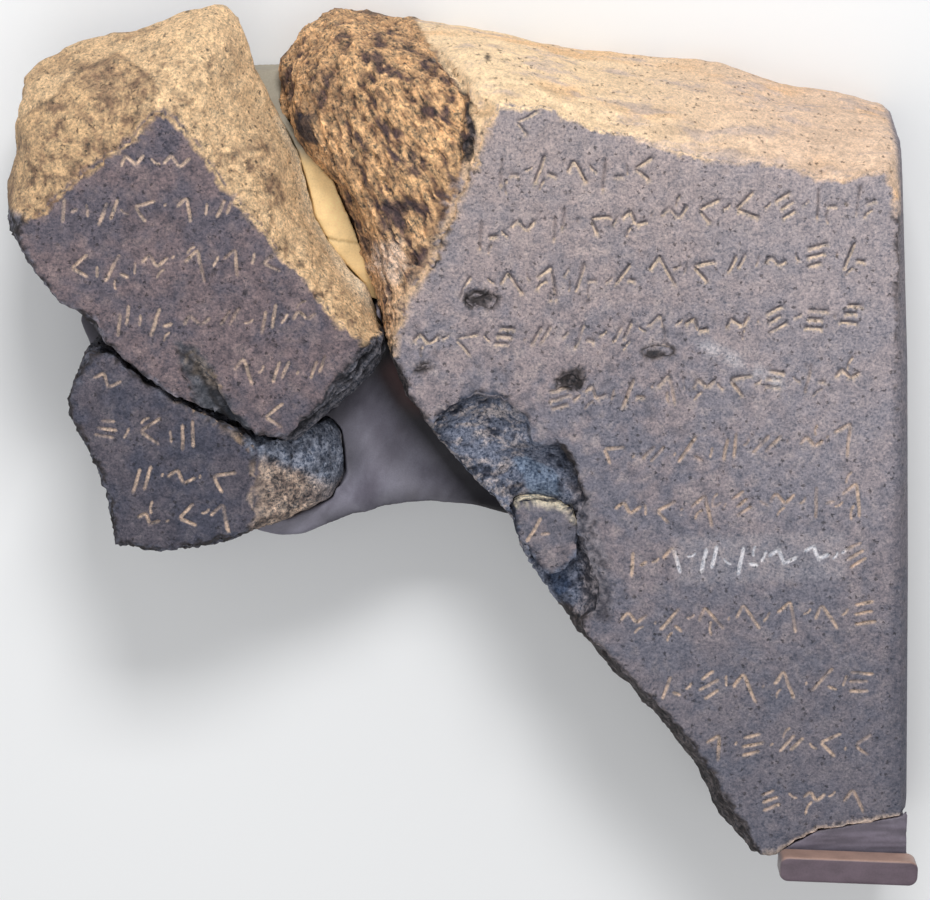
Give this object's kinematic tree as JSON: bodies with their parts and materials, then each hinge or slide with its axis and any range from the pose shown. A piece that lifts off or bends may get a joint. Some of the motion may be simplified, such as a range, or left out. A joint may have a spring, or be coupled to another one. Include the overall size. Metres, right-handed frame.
{
  "type": "carved stone stele",
  "caption": "Broken dark basalt stele with rows of shallow cut marks, its fragments rejoined with moulded fills and held at the foot by a painted bracket, lying on its back.",
  "frame": {"origin": "middle of the underside of the whole, on the plane that it lies on", "axes": "+X to the right along the rows of writing, +Y towards the top of the slab, +Z out of the inscribed face"},
  "size_m": [0.3402, 0.326, 0.0925],
  "materials": {
    "basalt": "matte",
    "dark_fill": "matte",
    "pale_fill": "matte",
    "bracket_paint": "satin"
  },
  "bodies": {
    "root": {"fragment_a": "basalt", "fragment_b1": "basalt", "fragment_b2": "basalt", "refitted_chip": "basalt", "joining_fill": "dark_fill", "upper_fill": "pale_fill", "foot_fill": "dark_fill", "bracket": "bracket_paint"}
  },
  "joints": []
}
